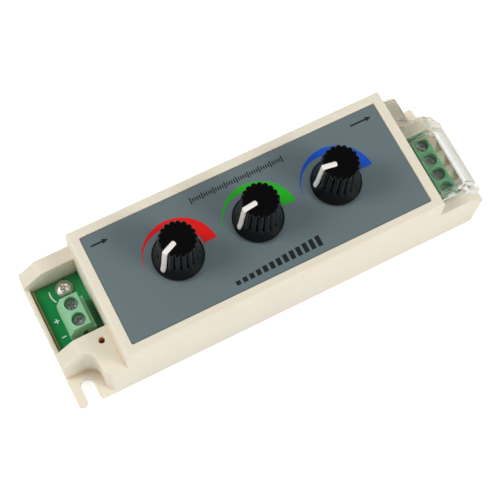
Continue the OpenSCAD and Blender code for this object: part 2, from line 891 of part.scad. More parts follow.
// Fixed bar that the wire is clamped against, with its leg through the board
module contacts(row) {
    color("#d9c48a") pole_places(row) {
        block([-bar_out, -bar_w / 2, bar_z], [leg_x + leg_t, bar_w / 2, bar_z + bar_t]);
        block([leg_x, -bar_w / 2, -board_t - leg_below / 2], [leg_x + leg_t, bar_w / 2, bar_z]);
    }
}

// Screw that turns in place and lifts the cage
module clamp_screw(row, k) {
    head_z = chamber_top + shelf_t + fit_gap;
    color(NICKEL) pole_place(row, k) difference() {
        union() {
            translate([0, 0, head_z]) cylinder(h = term_head_t, r = term_head_r);
            translate([0, 0, term_tip]) cylinder(h = head_z - term_tip, r = term_screw_r);
        }
        block([-2 * term_head_r, -term_slot_w / 2, head_z + term_head_t - term_slot_t],
            [2 * term_head_r, term_slot_w / 2, block_h]);
    }
}

// Cage that rises and presses the wire up against the bar
module cage(row, k) {
    foot = chamber_floor + cage_gap;
    sill = foot + cage_floor_t;
    height = cage_floor_t + cage_window + cage_top_t;
    color(BRASS) pole_place(row, k) difference() {
        block([-cage_l / 2, -cage_w / 2, foot], [cage_l / 2, cage_w / 2, foot + height]);
        block([-cage_l, cage_wall - cage_w / 2, sill], [cage_l, cage_w / 2 - cage_wall, sill + cage_window]);
        translate([0, 0, sill]) cylinder(h = height, r = term_screw_r + fit_gap);
    }
}

// Side view of the cover's flange, which follows the wing, and of the hood above it
module flange_outline() {
    box = box_l / 2 + seat_gap;
    end = housing_l / 2;
    rise = cover_t * sqrt(1 + slope_drop * slope_drop);
    lift = cover_t * (sqrt(1 + slope_drop * slope_drop) - 1) / slope_drop;
    polygon([[box, wing_h + cover_gap], [bend_x, wing_h + cover_gap], [end, end_h + cover_gap],
        [end, end_h + cover_gap + rise], [bend_x + lift, wing_h + cover_gap + cover_t],
        [box, wing_h + cover_gap + cover_t]]);
}

module hood_outline(inset) {
    box = box_l / 2 + seat_gap;
    polygon(rounded([[box, wing_h - inset], [hood_end - inset, wing_h - inset - over],
        [hood_end - inset, hood_end_h - inset], [hood_bend - inset / 2, hood_h - inset], [box, hood_h - inset]],
        [0, 0, hood_edge_r - inset / 2, hood_edge_r, 0]));
}

// Plan of the flange: a notch leaves the right ear's screw free
module flange_plan() {
    box = box_l / 2;
    end = housing_l / 2;
    lean = cover_notch_y - notch_lean;
    polygon(rounded([[box, cover_near], [end, cover_near], [end, lean - notch_end_w],
        [end - notch_end_l, lean], [cover_notch_x, cover_notch_y], [cover_notch_x, cover_far],
        [box, cover_far]], [0, cover_edge_r, notch_end_r, notch_end_r, 0, cover_edge_r, 0]));
}

module clear_cover() {
    top = hood_h + over;
    color("#dfe8ea", 0.35) difference() {
        union() {
            intersection() {
                along_y(cover_near, cover_far) flange_outline();
                linear_extrude(top) flange_plan();
            }
            difference() {
                along_y(hood_near, hood_far) hood_outline(0);
                hood_foot();
            }
            translate([cover_screw_x, cover_screw_y, wing_h + cover_gap])
                cylinder(h = cover_post_rise, r = cover_post_r);
        }
        along_y(hood_near + hood_wall, hood_far - hood_wall) hood_outline(hood_wall);
        translate([cover_screw_x, cover_screw_y, 0]) cylinder(h = top, r = cover_hole_r);
        translate([cover_screw_x, cover_screw_y, wing_h + cover_gap + cover_post_rise - cover_bore_l])
            cylinder(h = top, r = cover_bore_r);
    }
}

// Everything below the underside of the flange
module hood_foot() {
    box = box_l / 2;
    end = housing_l / 2 + over;
    along_y(cover_near - over, cover_far + over)
        polygon([[box - over, 0], [end, 0], [end, end_h - over * slope_drop + cover_gap],
            [bend_x, wing_h + cover_gap], [box - over, wing_h + cover_gap]]);
}

// Can-type capacitor, as high as the space below the control board allows
module capacitor() {
    color("#2a2c31") translate([cap_at.x, cap_at.y, board_top]) rotate_extrude()
        polygon([[0, 0], [cap_r - cap_edge_r, 0], [cap_r, cap_edge_r], [cap_r, cap_l - cap_edge_r],
            [cap_r - cap_edge_r, cap_l], [0, cap_l]]);
}

// One flat power transistor for each colour, with its metal tab and four leads
module mosfets() {
    color(BLACK) for (x = mosfet_x)
        translate([x, mosfet_y, board_top]) {
            block([-mosfet_w / 2, -mosfet_l / 2, 0], [mosfet_w / 2, mosfet_l / 2, mosfet_h]);
            block([-mosfet_tab_w / 2, mosfet_l / 2, 0], [mosfet_tab_w / 2, mosfet_l / 2 + mosfet_tab_l, mosfet_tab_t]);
            for (k = [0 : mosfet_leg_n - 1])
                translate([(k - (mosfet_leg_n - 1) / 2) * mosfet_leg_pitch - mosfet_leg_w / 2,
                    -mosfet_l / 2 - mosfet_leg_l, 0])
                    cube([mosfet_leg_w, mosfet_leg_l, mosfet_tab_t]);
        }
}

module regulator() {
    color(BLACK) translate([regulator_at.x, regulator_at.y, board_top]) {
        block([-regulator_l / 2, -regulator_w / 2, 0], [regulator_l / 2, regulator_w / 2, regulator_h]);
        for (k = [-1 : 1])
            translate([k * regulator_leg_pitch - regulator_leg_w / 2, -regulator_w / 2 - regulator_leg_l, 0])
                cube([regulator_leg_w, regulator_leg_l, regulator_leg_t]);
    }
}

module pwm_chip() {
    color(BLACK) translate([chip_at.x, chip_at.y, board_top]) {
        block([-chip_l / 2, -chip_w / 2, 0], [chip_l / 2, chip_w / 2, chip_h]);
        for (side = [-1, 1], k = [0 : chip_lead_n - 1])
            translate([(k - (chip_lead_n - 1) / 2) * chip_lead_pitch, side * (chip_w + chip_lead_l) / 2, chip_lead_t / 2])
                cube([chip_lead_w, chip_lead_l, chip_lead_t], center = true);
    }
}

module chip_parts() {
    color("#3a3a3c") for (k = [0 : resistor_n - 1])
        translate([resistor_x + k * resistor_pitch, resistor_y, board_top + resistor_h / 2])
            cube([resistor_w, resistor_l, resistor_h], center = true);
}

housing();
base_plate();
base_screws();
label_plate();
knob(0);  // knob_red
knob(1);  // knob_green
knob(2);  // knob_blue
pointer(0);  // pointer_red
pointer(1);  // pointer_green
pointer(2);  // pointer_blue
shaft(0);  // shaft_red
shaft(1);  // shaft_green
shaft(2);  // shaft_blue
rotor(0);  // rotor_red
rotor(1);  // rotor_green
rotor(2);  // rotor_blue
bushing(0);  // bushing_red
bushing(1);  // bushing_green
bushing(2);  // bushing_blue
can(0);  // can_red
can(1);  // can_green
can(2);  // can_blue
wafer(0);  // wafer_red
wafer(1);  // wafer_green
wafer(2);  // wafer_blue
pot_pins();
pot_nuts();
pot_washers();
control_board();
header_body();
header_pins();
main_board();
board_screws();
board_washers();
terminal(0);  // input_terminal
terminal(1);  // output_terminal
contacts(0);  // input_contacts
contacts(1);  // output_contacts
clamp_screw(0, 0);  // in_screw_1
clamp_screw(0, 1);  // in_screw_2
clamp_screw(1, 0);  // out_screw_1
clamp_screw(1, 1);  // out_screw_2
clamp_screw(1, 2);  // out_screw_3
clamp_screw(1, 3);  // out_screw_4
cage(0, 0);  // in_cage_1
cage(0, 1);  // in_cage_2
cage(1, 0);  // out_cage_1
cage(1, 1);  // out_cage_2
cage(1, 2);  // out_cage_3
cage(1, 3);  // out_cage_4
clear_cover();
capacitor();
mosfets();
regulator();
pwm_chip();
chip_parts();
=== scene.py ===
"""LED strip controller: an ivory housing with three black knobs on a slate label and a bay at each end."""
import math

import bmesh
import bpy
from mathutils import Euler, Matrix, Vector
from mathutils.bvhtree import BVHTree
from mathutils.geometry import intersect_line_line_2d, intersect_point_line


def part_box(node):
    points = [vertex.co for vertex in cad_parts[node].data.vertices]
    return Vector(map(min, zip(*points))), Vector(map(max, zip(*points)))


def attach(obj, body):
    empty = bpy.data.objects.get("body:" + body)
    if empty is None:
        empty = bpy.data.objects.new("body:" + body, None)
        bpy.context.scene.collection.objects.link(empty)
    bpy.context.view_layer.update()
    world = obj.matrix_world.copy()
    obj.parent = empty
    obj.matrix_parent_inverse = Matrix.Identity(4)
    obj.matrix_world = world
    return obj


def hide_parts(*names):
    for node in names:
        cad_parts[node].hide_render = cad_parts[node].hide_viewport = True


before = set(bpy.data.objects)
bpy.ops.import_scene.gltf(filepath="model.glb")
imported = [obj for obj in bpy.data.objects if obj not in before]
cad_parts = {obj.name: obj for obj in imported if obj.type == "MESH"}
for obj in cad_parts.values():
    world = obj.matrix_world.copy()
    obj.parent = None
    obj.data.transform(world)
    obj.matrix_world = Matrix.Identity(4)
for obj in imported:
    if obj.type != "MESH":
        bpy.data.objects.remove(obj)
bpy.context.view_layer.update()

# Camera: the photograph's view, from high above the near-left corner through a short telephoto lens.
# The angles and the distance come from the corners of the label, the box and the base.
MM = 0.001
camera_place_mm = (-72.51, -105.44, 363.79)
camera_turn_deg = (19.424, -2.387, -27.346)
camera_data = bpy.data.cameras.new("camera")
camera_data.sensor_width = 36
camera_data.lens = 92.2
camera_data.clip_start = 0.01
camera_data.clip_end = 20
camera = bpy.data.objects.new("camera", camera_data)
camera.location = Vector(camera_place_mm) * MM
camera.rotation_euler = Euler([math.radians(turn) for turn in camera_turn_deg], "XYZ")
bpy.context.scene.collection.objects.link(camera)
bpy.context.scene.camera = camera
bpy.context.scene.view_settings.view_transform = "Standard"


# Studio: a white seamless floor and backdrop, two large soft lamps and a dim ceiling.
# The camera sees the backdrop white. Gloss and clear plastic see it white at the sides and dimmer overhead.
def add(tree, kind, links=None, **settings):
    """Adds a node. settings are its own choices, and links its inputs, each a value or another's output."""
    made = tree.nodes.new(kind)
    for name, value in settings.items():
        setattr(made, name, value)
    for socket, value in (links or {}).items():
        if isinstance(value, bpy.types.NodeSocket):
            tree.links.new(value, made.inputs[socket])
        else:
            made.inputs[socket].default_value = value
    return made


def linear(code, alpha=1.0):
    """A colour written as sRGB hex, as the linear values that shaders take."""
    parts = [int(code[i:i + 2], 16) / 255 for i in (1, 3, 5)]
    return tuple(c / 12.92 if c <= 0.04045 else ((c + 0.055) / 1.055) ** 2.4 for c in parts) + (alpha,)


def material(name):
    """An empty material with its node tree."""
    made = bpy.data.materials.new(name)
    made.use_nodes = True
    made.node_tree.nodes.clear()
    return made, made.node_tree


sky_level, ceiling_level = 0.46, 0.1
backdrop_top, ceiling_edge = 0.45, 0.85
world = bpy.data.worlds.new("studio")
bpy.context.scene.world = world
world.use_nodes = True
sky = world.node_tree
sky.nodes.clear()
rays = add(sky, "ShaderNodeLightPath")
heading = add(sky, "ShaderNodeSeparateXYZ", {0: add(sky, "ShaderNodeTexCoord").outputs["Generated"]})
wall = add(sky, "ShaderNodeMapRange", {
    "Value": heading.outputs["Z"], "From Min": backdrop_top, "From Max": ceiling_edge,
    "To Min": 1.0, "To Max": ceiling_level})
soft = add(sky, "ShaderNodeMix", {0: rays.outputs["Is Glossy Ray"], 2: sky_level, 3: wall.outputs[0]})
pane = add(sky, "ShaderNodeMath", {0: wall.outputs[0], 1: sky_level}, operation="MAXIMUM")
pane = add(sky, "ShaderNodeMath", {0: pane.outputs[0], 1: rays.outputs["Is Transmission Ray"]},
           operation="MULTIPLY")
seen = add(sky, "ShaderNodeMath", {0: pane.outputs[0], 1: rays.outputs["Is Camera Ray"]},
           operation="MAXIMUM")
level = add(sky, "ShaderNodeMath", {0: soft.outputs[0], 1: seen.outputs[0]}, operation="MAXIMUM")
daylight = add(sky, "ShaderNodeBackground", {"Color": (1, 1, 1, 1), "Strength": level.outputs[0]})
add(sky, "ShaderNodeOutputWorld", {"Surface": daylight.outputs[0]})

floor_half, floor_below_mm, floor_glow = 3.0, 0.2, 0.42
floor_corners = [(x * floor_half, y * floor_half, 0) for x, y in ((-1, -1), (1, -1), (1, 1), (-1, 1))]
floor_mesh = bpy.data.meshes.new("floor")
floor_mesh.from_pydata(floor_corners, [], [(0, 1, 2, 3)])
floor = bpy.data.objects.new("floor", floor_mesh)
bpy.context.scene.collection.objects.link(floor)
floor.location.z = -floor_below_mm * MM
paper, tree = material("white_paper_floor")
rays = add(tree, "ShaderNodeLightPath")
seen = add(tree, "ShaderNodeMath", {
    0: rays.outputs["Is Camera Ray"], 1: rays.outputs["Is Transmission Ray"]}, operation="MAXIMUM")
seen = add(tree, "ShaderNodeMath", {0: seen.outputs[0], 1: rays.outputs["Is Glossy Ray"]},
           operation="MAXIMUM")
matt = add(tree, "ShaderNodeBsdfDiffuse", {"Color": linear("#f4f4f4")})
glow = add(tree, "ShaderNodeEmission", {"Color": (1, 1, 1, 1), "Strength": floor_glow})
lit = add(tree, "ShaderNodeAddShader", {0: matt.outputs[0], 1: glow.outputs[0]})
shade = add(tree, "ShaderNodeMixShader", {0: seen.outputs[0], 1: matt.outputs[0], 2: lit.outputs[0]})
add(tree, "ShaderNodeOutputMaterial", {"Surface": shade.outputs[0]})
floor_mesh.materials.append(paper)


def softbox(name, place, size, watts):
    """A square area lamp that looks at the object, with its place and size in metres."""
    data = bpy.data.lights.new(name, "AREA")
    data.shape = "SQUARE"
    data.size = size
    data.energy = watts
    lamp = bpy.data.objects.new(name, data)
    lamp.location = place
    lamp.rotation_euler = (-Vector(place)).to_track_quat("-Z", "Y").to_euler()
    bpy.context.scene.collection.objects.link(lamp)


softbox("near_softbox", place=(0.5, -0.62, 0.66), size=0.42, watts=4.7)
softbox("left_softbox", place=(-0.62, 0.25, 0.74), size=0.36, watts=4.0)


# Housing and base plate: injection-moulded ABS shells with softly broken edges, spark-textured outside.
# The texture gives a soft, even sheen. The ivory shifts a little in tone.
# Deep corners and holes are painted a warm amber shade, mixed in by how closed in they are, in place of
# the light that would reach them through the plastic.
def reach_of(point, start, end):
    """Distance from a point to the line piece between start and end."""
    foot, share = intersect_point_line(point, start, end)
    return (point - (start if share < 0 else end if share > 1 else foot)).length


def room_beside(line):
    """Least distance in mm from an edge to those running back across its faces, a limit to its rounding."""
    room, turned_back = 1.0, -0.5
    for here in line.link_loops:
        start, end = here.vert.co, here.link_loop_next.vert.co
        along = (end - start).normalized()
        for there in here.face.loops:
            first, last = there.vert.co, there.link_loop_next.vert.co
            if along.dot((last - first).normalized()) < turned_back:
                gaps = [reach_of(point, start, end) for point in (first, last) if point not in (start, end)]
                gaps += [reach_of(point, first, last) for point in (start, end) if point not in (first, last)]
                room = min([room] + gaps)
    return room / MM


def set_widths(work, edge, hollow_edge):
    """Gives each edge its share of the rounding, less where its neighbours leave little room."""
    sharp_deg, straight_on, room_share, least_mm = 25, 0.9, 0.42, 0.06
    share = work.edges.layers.float.new("bevel_weight_edge")
    for line in work.edges:
        turn = math.degrees(line.calc_face_angle_signed(0))
        width = edge if turn > sharp_deg else hollow_edge if turn < -sharp_deg else 0
        for corner in line.verts:
            inward = (corner.co - line.other_vert(corner).co).normalized()
            for other in corner.link_edges:
                onward = (other.other_vert(corner).co - corner.co).normalized()
                if other != line and inward.dot(onward) < straight_on:
                    width = min(width, room_share * other.calc_length() / MM)
        width = min(width, room_share * room_beside(line)) if width else 0
        line[share] = width / edge if width > least_mm else 0


def hold_to_surface(shaped, node, edge, hollow_edge):
    """Puts the corners that lie further from the node's surface than a rounding can back on it."""
    reach_share, level_share = 0.42, 0.5
    surface = BVHTree.FromObject(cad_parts[node], bpy.context.evaluated_depsgraph_get())
    for corner in shaped.vertices:
        nearest, normal, _, away = surface.find_nearest(corner.co)
        outside = (corner.co - nearest).dot(normal) > -level_share * away
        if away > reach_share * (hollow_edge if outside else edge) * MM:
            corner.co = nearest


def unfold(shaped, edge):
    """Closes thin folds, where a face's outline turns back across itself: the corner joins its neighbour."""
    fold_deg, fold_length, no_angle = 12, 2 * edge * MM, math.pi
    for face in [face for face in shaped.polygons if len(face.vertices) > 4]:
        ring, laid = list(face.vertices), face.normal.rotation_difference(Vector((0, 0, 1)))
        spots = [(laid @ shaped.vertices[here].co).to_2d() for here in ring]
        for k in range(len(ring)):
            for way in (1, -1):
                ahead, here, *behind = [spots[(k + way * step) % len(ring)]
                                        for step in (1, 0, -1, -2, -3, -4)]
                crossed = any(intersect_line_line_2d(here, ahead, *pair) for pair in zip(behind, behind[1:]))
                back = behind[0] - here
                thin = math.degrees(back.angle(ahead - here, no_angle)) < fold_deg
                if crossed and thin and back.length < fold_length:
                    shaped.vertices[ring[k]].co = shaped.vertices[ring[(k - way) % len(ring)]].co


def moulded(node, piece, body, finish, edge, hollow_edge=0.0):
    """A copy of a node with its outer edges rounded by edge mm, and its inner ones by hollow_edge mm."""
    weld_mm, flat_deg, left_sharp_deg = 0.03, 0.8, 36
    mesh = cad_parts[node].data.copy()
    work = bmesh.new()
    work.from_mesh(mesh)
    bmesh.ops.remove_doubles(work, verts=work.verts, dist=weld_mm * MM)
    bmesh.ops.dissolve_limit(work, angle_limit=math.radians(flat_deg), verts=work.verts, edges=work.edges)
    set_widths(work, edge, hollow_edge)
    work.to_mesh(mesh)
    work.free()
    mesh.materials.clear()
    mesh.materials.append(finish)
    mesh.shade_smooth()
    made = bpy.data.objects.new(piece, mesh)
    bpy.context.scene.collection.objects.link(made)
    rounding = made.modifiers.new("rounding", "BEVEL")
    rounding.width = edge * MM
    rounding.segments = 3
    rounding.limit_method = "WEIGHT"
    rounding.use_clamp_overlap = False
    bpy.context.view_layer.update()
    shaped = bpy.data.meshes.new_from_object(made.evaluated_get(bpy.context.evaluated_depsgraph_get()))
    hold_to_surface(shaped, node, edge, hollow_edge)
    unfold(shaped, edge)
    shaped.set_sharp_from_angle(angle=math.radians(left_sharp_deg))
    made.modifiers.clear()
    made.data = shaped
    flat = made.modifiers.new("flat_faces", "WEIGHTED_NORMAL")
    flat.weight = 100
    flat.keep_sharp = True
    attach(made, body)
    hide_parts(node)


# The spark texture's grain of about 0.1 mm is too fine to show, so it is drawn three times as coarse.
abs_ivory, tree = material("abs_ivory_spark_textured")
grain_mm, drift_mm, painted_shade_reach_mm, deep_open, free_open = 0.32, 18, 3, 0.05, 0.75
place = add(tree, "ShaderNodeTexCoord").outputs["Object"]
grain = add(tree, "ShaderNodeTexNoise", {
    "Vector": place, "Scale": 1 / (grain_mm * MM), "Detail": 2.0, "Roughness": 0.6})
drift = add(tree, "ShaderNodeTexNoise", {"Vector": place, "Scale": 1 / (drift_mm * MM), "Detail": 2.0})
skin_tone = add(tree, "ShaderNodeMix", {0: drift.outputs[0], 6: linear("#e3dbc8"), 7: linear("#e9e2d0")},
                data_type="RGBA")
# Painted shade: the ivory is mixed towards amber where the surface is closed in within a few millimetres.
painted_shade_occlusion = add(tree, "ShaderNodeAmbientOcclusion", {"Distance": painted_shade_reach_mm * MM}, only_local=True)
openness = add(tree, "ShaderNodeMapRange", {
    "Value": painted_shade_occlusion.outputs["AO"], "From Min": deep_open, "From Max": free_open})
tone = add(tree, "ShaderNodeMix", {0: openness.outputs[0], 6: linear("#edc27a"), 7: skin_tone.outputs[2]},
           data_type="RGBA")
sheen = add(tree, "ShaderNodeMapRange", {"Value": grain.outputs[0], "To Min": 0.44, "To Max": 0.58})
relief = add(tree, "ShaderNodeBump", {"Height": grain.outputs[0], "Strength": 0.16, "Distance": 0.03 * MM})
shade = add(tree, "ShaderNodeBsdfPrincipled", {
    "Base Color": tone.outputs[2], "Roughness": sheen.outputs[0], "IOR": 1.53, "Normal": relief.outputs[0],
    "Subsurface Weight": 0.4, "Subsurface Radius": (1.0, 0.5, 0.2), "Subsurface Scale": 1.2 * MM})
add(tree, "ShaderNodeOutputMaterial", {"Surface": shade.outputs[0]})
moulded("housing", "housing_shell", "case", abs_ivory, edge=0.35, hollow_edge=0.15)
moulded("base_plate", "base_cover", "case", abs_ivory, edge=0.2)


# Label: a printed film with a fine matt lacquer, stuck in the shallow recess of the box.
# The lacquer scatters the light, so the slate stays even with only a soft sheen. Its tooth of a few
# hundredths of a millimetre is drawn coarser, so that it shows.
label_film, tree = material("label_film_matt_lacquer")
tooth_mm = 0.3
place = add(tree, "ShaderNodeTexCoord").outputs["Object"]
tooth = add(tree, "ShaderNodeTexNoise", {"Vector": place, "Scale": 1 / (tooth_mm * MM), "Detail": 2.0})
tone = add(tree, "ShaderNodeMix", {0: tooth.outputs[0], 6: linear("#5f6e72"), 7: linear("#67777b")},
           data_type="RGBA")
relief = add(tree, "ShaderNodeBump", {"Height": tooth.outputs[0], "Strength": 0.15, "Distance": 0.02 * MM})
shade = add(tree, "ShaderNodeBsdfPrincipled", {
    "Base Color": tone.outputs[2], "Roughness": 0.45, "IOR": 1.5, "Normal": relief.outputs[0]})
add(tree, "ShaderNodeOutputMaterial", {"Surface": shade.outputs[0]})
moulded("label_plate", "label_film", "case", label_film, edge=0.05)
label_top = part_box("label_plate")[1].z


# Prints on the label: screen ink a few hundredths of a millimetre thick, with crisp edges.
# A crescent round each knob swells towards full, and the near-black marks are plain bars, ticks and arrows.
def ink(name, code):
    """Screen ink with a faint mottle."""
    made, tree = material(name)
    mottle_mm = 0.5
    place = add(tree, "ShaderNodeTexCoord").outputs["Object"]
    mottle = add(tree, "ShaderNodeTexNoise", {"Vector": place, "Scale": 1 / (mottle_mm * MM), "Detail": 2.0})
    sheen = add(tree, "ShaderNodeMapRange", {"Value": mottle.outputs[0], "To Min": 0.36, "To Max": 0.5})
    shade = add(tree, "ShaderNodeBsdfPrincipled", {
        "Base Color": linear(code), "Roughness": sheen.outputs[0], "IOR": 1.5, "Specular IOR Level": 0.28})
    add(tree, "ShaderNodeOutputMaterial", {"Surface": shade.outputs[0]})
    return made


def printed(name, outlines, finish, top):
    """Flat outlines in mm, printed as thin solids on a surface at height top in metres."""
    ink_t = 0.03 * MM
    work = bmesh.new()
    for outline in outlines:
        low = [work.verts.new((x * MM, y * MM, top)) for x, y in outline]
        high = [work.verts.new((x * MM, y * MM, top + ink_t)) for x, y in outline]
        work.faces.new(list(reversed(low)))
        work.faces.new(high)
        for i in range(len(outline)):
            j = (i + 1) % len(outline)
            work.faces.new((low[i], low[j], high[j], high[i]))
    bmesh.ops.recalc_face_normals(work, faces=work.faces)
    mesh = bpy.data.meshes.new(name)
    work.to_mesh(mesh)
    work.free()
    mesh.materials.append(finish)
    made = bpy.data.objects.new(name, mesh)
    bpy.context.scene.collection.objects.link(made)
    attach(made, "case")


def crescent(x):
    """The space between two circles that nearly touch at the low end, cut off level at the full end."""
    outer_shift, outer_r, inner_shift, inner_r, foot, steps = 1.1, 11.1, -0.8, 9.1, 0.5, 48
    sides = []
    for shift, radius in ((outer_shift, outer_r), (inner_shift, inner_r)):
        first = math.asin(foot / radius)
        turns = [first + (math.pi - 2 * first) * k / steps for k in range(steps + 1)]
        sides.append([(x + shift + radius * math.cos(a), radius * math.sin(a)) for a in turns])
    return sides[0] + sides[1][::-1]


def bar(x0, y0, x1, y1):
    """A rectangle between two of its corners."""
    return [(x0, y0), (x1, y0), (x1, y1), (x0, y1)]


def arrow(x0, x1, y):
    """A plain arrow from x0 to x1."""
    shaft, wing, head = 0.25, 0.8, 1.8
    return [(x0, y - shaft), (x1 - head, y - shaft), (x1 - head, y - wing), (x1, y),
            (x1 - head, y + wing), (x1 - head, y + shaft), (x0, y + shaft)]


knob_places = {"red": -24.6, "green": 0.2, "blue": 25.0}
crescent_codes = {"red": "#dc110d", "green": "#1fae1e", "blue": "#0a4fbe"}
for colour, x in knob_places.items():
    coloured_ink = ink(f"screen_ink_{colour}", crescent_codes[colour])
    printed(f"crescent_{colour}", [crescent(x)], coloured_ink, label_top)

black_ink = ink("screen_ink_black", "#1d2226")
ramp_left, ramp_low, ramp_high = -13.8, -14.8, 3.2
ramp_bars, ramp_pitch, ramp_bar, ramp_start_share = 13, 2.13, 1.35, 0.4
ramp = []
for k in range(ramp_bars):
    left = ramp_left + k * ramp_pitch
    height = ramp_high * (ramp_start_share + (1 - ramp_start_share) * k / (ramp_bars - 1))
    ramp.append(bar(left, ramp_low, left + ramp_bar, ramp_low + height))
printed("level_ramp", ramp, black_ink, label_top)

rule_left, rule_right, rule_y, rule_ticks, long_every = -14.2, 14.7, 13.3, 41, 5
tick_w, tick_short, tick_long = 0.34, 1.1, 2.0
ticks = []
for k in range(rule_ticks):
    x = rule_left + (rule_right - rule_left) * k / (rule_ticks - 1)
    tall = tick_long if k % long_every == 0 else tick_short
    ticks.append(bar(x - tick_w / 2, rule_y - tall / 2, x + tick_w / 2, rule_y + tall / 2))
printed("fine_ticks", ticks, black_ink, label_top)
printed("arrow_in", [arrow(x0=-44.8, x1=-39.6, y=13.4)], black_ink, label_top)
printed("arrow_out", [arrow(x0=37.2, x1=44.0, y=13.6)], black_ink, label_top)


# Knobs: black ABS, moulded with eighteen rounded flutes above a flared skirt with a thin lip.
# The satin black keeps soft grey lights along each flute and round the skirt. Its skin's fine unevenness
# is drawn coarser than it is, so that it shows.
lip_r, lip_t, lip_in, lip_round, lip_foot = 7.4, 0.6, 0.25, 0.12, 0.1
grip_r, crown_r, crown_round, crown_flat_r, skirt_share = 5.85, 5.4, 0.35, 4.4, 0.42
flute_count, flute_deep, flute_start_share, flute_full_share, crest_power = 18, 0.72, 0.2, 0.38, 0.62
core_r, core_h, bore_r, bore_h = 6.0, 1.75, 4.2, 2.95
steps_per_flute, side_steps, round_steps = 14, 34, 4
knob_low, knob_high = (corner.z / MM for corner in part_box("knob_red"))
knob_tall = knob_high - knob_low
pointer_angles = {"red": 203.3, "green": 186.0, "blue": 170.5}


def skirt_radius(height):
    """Radius in mm at a height above the foot, over the flutes."""
    head = knob_tall * skirt_share
    if height > head:
        return grip_r + (crown_r - grip_r) * (height - head) / (knob_tall - head)
    share = max(0.0, (height - lip_t) / (head - lip_t))
    return grip_r + (lip_r - lip_in - grip_r) * (1 - share) ** 2


def flute_depth(height, turn):
    """How deep the grooves are: narrow valleys between wide rounded crests, fading out into the skirt."""
    fade = (height / knob_tall - flute_start_share) / (flute_full_share - flute_start_share)
    fade = min(1.0, max(0.0, fade))
    valley = 1 - abs(math.cos(flute_count * turn / 2)) ** crest_power
    return flute_deep * fade * fade * (3 - 2 * fade) * valley


def wrap(work, rings):
    """Joins rings of points in mm by quads, round and round, and closes both ends."""
    rows = [[work.verts.new(Vector(p) * MM) for p in ring] for ring in rings]
    for low, high in zip(rows, rows[1:]):
        for i in range(len(low)):
            j = (i + 1) % len(low)
            work.faces.new((low[i], low[j], high[j], high[i]))
    work.faces.new(rows[0])
    work.faces.new(rows[-1])


def finished(work, name, finish, body, node, sharp_deg):
    """Makes the object of a bmesh, gives it its finish, and lets it ride on its body in place of its node."""
    bmesh.ops.recalc_face_normals(work, faces=work.faces)
    mesh = bpy.data.meshes.new(name)
    work.to_mesh(mesh)
    work.free()
    mesh.materials.append(finish)
    mesh.shade_smooth()
    mesh.set_sharp_from_angle(angle=math.radians(sharp_deg))
    made = bpy.data.objects.new(name, mesh)
    bpy.context.scene.collection.objects.link(made)
    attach(made, body)
    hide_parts(node)
    return made


abs_black, tree = material("abs_black_satin")
skin_mm = 0.4
place = add(tree, "ShaderNodeTexCoord").outputs["Object"]
skin = add(tree, "ShaderNodeTexNoise", {"Vector": place, "Scale": 1 / (skin_mm * MM), "Detail": 2.0})
sheen = add(tree, "ShaderNodeMapRange", {"Value": skin.outputs[0], "To Min": 0.16, "To Max": 0.28})
relief = add(tree, "ShaderNodeBump", {"Height": skin.outputs[0], "Strength": 0.12, "Distance": 0.03 * MM})
shade = add(tree, "ShaderNodeBsdfPrincipled", {
    "Base Color": linear("#050506"), "Roughness": sheen.outputs[0], "IOR": 1.53, "Specular IOR Level": 0.2,
    "Normal": relief.outputs[0]})
add(tree, "ShaderNodeOutputMaterial", {"Surface": shade.outputs[0]})

turns = [2 * math.pi * i / (flute_count * steps_per_flute) for i in range(flute_count * steps_per_flute)]
for colour, x in knob_places.items():
    levels = [(0.0, core_r, None), (0.0, lip_r - lip_round, None), (lip_foot, lip_r, None),
              (lip_t - lip_round, lip_r, None), (lip_t, lip_r - lip_round, None)]
    levels += [(lip_t + (knob_tall - crown_round - lip_t) * k / side_steps, None, 0.0)
               for k in range(side_steps + 1)]
    bends = [math.pi / 2 * k / round_steps for k in range(1, round_steps + 1)]
    levels += [(knob_tall - crown_round * (1 - math.sin(a)), None, crown_round * (1 - math.cos(a)))
               for a in bends]
    levels += [(knob_tall, crown_flat_r, None)]
    rings = [[(r * math.cos(a), r * math.sin(a), h) for a in turns]
             for r, h in ((bore_r, bore_h), (bore_r, core_h), (core_r, core_h))]
    for height, radius, inset in levels:
        sizes = [radius if inset is None else skirt_radius(height) - flute_depth(height, a) - inset
                 for a in turns]
        rings.append([(r * math.cos(a), r * math.sin(a), height) for r, a in zip(sizes, turns)])
    work = bmesh.new()
    wrap(work, rings)
    knob = finished(work, f"fluted_knob_{colour}", abs_black, f"{colour}_knob",
                    f"knob_{colour}", sharp_deg=40)
    knob.location = (x * MM, 0, knob_low * MM)
    knob.rotation_euler.z = math.radians(pointer_angles[colour])


# Pointers: white ABS inlays, pressed into a groove that runs from the crown over the rim and down the side.
# Each stands a tenth of a millimetre proud with softly rounded edges.
abs_white, tree = material("abs_white_satin")
place = add(tree, "ShaderNodeTexCoord").outputs["Object"]
skin = add(tree, "ShaderNodeTexNoise", {"Vector": place, "Scale": 1 / (skin_mm * MM), "Detail": 2.0})
tone = add(tree, "ShaderNodeMix", {0: skin.outputs[0], 6: linear("#e9e4de"), 7: linear("#f0ebe6")},
           data_type="RGBA")
shade = add(tree, "ShaderNodeBsdfPrincipled", {"Base Color": tone.outputs[2], "Roughness": 0.4, "IOR": 1.53})
add(tree, "ShaderNodeOutputMaterial", {"Surface": shade.outputs[0]})

